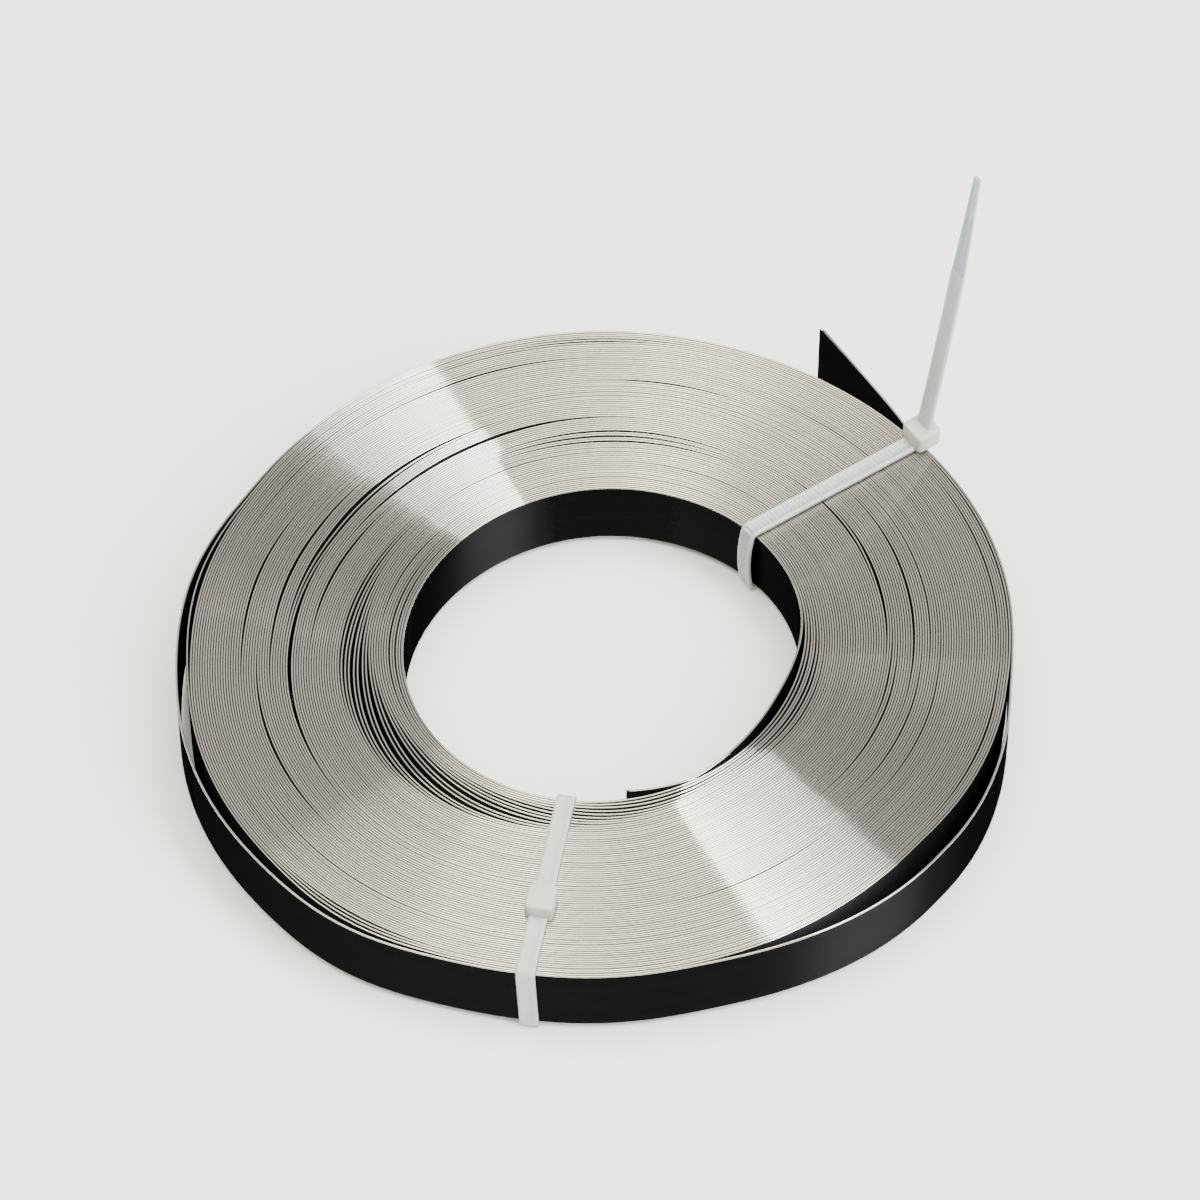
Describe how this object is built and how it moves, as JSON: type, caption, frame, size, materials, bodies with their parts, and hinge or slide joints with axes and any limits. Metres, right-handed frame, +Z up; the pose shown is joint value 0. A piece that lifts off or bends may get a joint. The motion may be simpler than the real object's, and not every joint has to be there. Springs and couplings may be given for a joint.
{
  "type": "steel coil",
  "caption": "Coil of narrow steel strip lying flat, its slit edges up, with a round bore, a slack outer turn with a free end, and nylon cable ties around the winding.",
  "frame": {"origin": "the winding's axis, at the level of the floor that the cable ties' straps rest on", "axes": "+Z up along the winding's axis, -Y towards the front cable tie, the free outer end and the rear cable tie towards +X and +Y"},
  "size_m": [0.2106, 0.2085, 0.1109],
  "materials": {
    "steel_strip": "bright slit edges, dark smooth rolled faces",
    "tie_nylon": "natural translucent nylon, satin"
  },
  "bodies": {
    "root": {"strip_coil": "steel_strip", "front_cable_tie": "tie_nylon", "rear_cable_tie": "tie_nylon"}
  },
  "joints": []
}
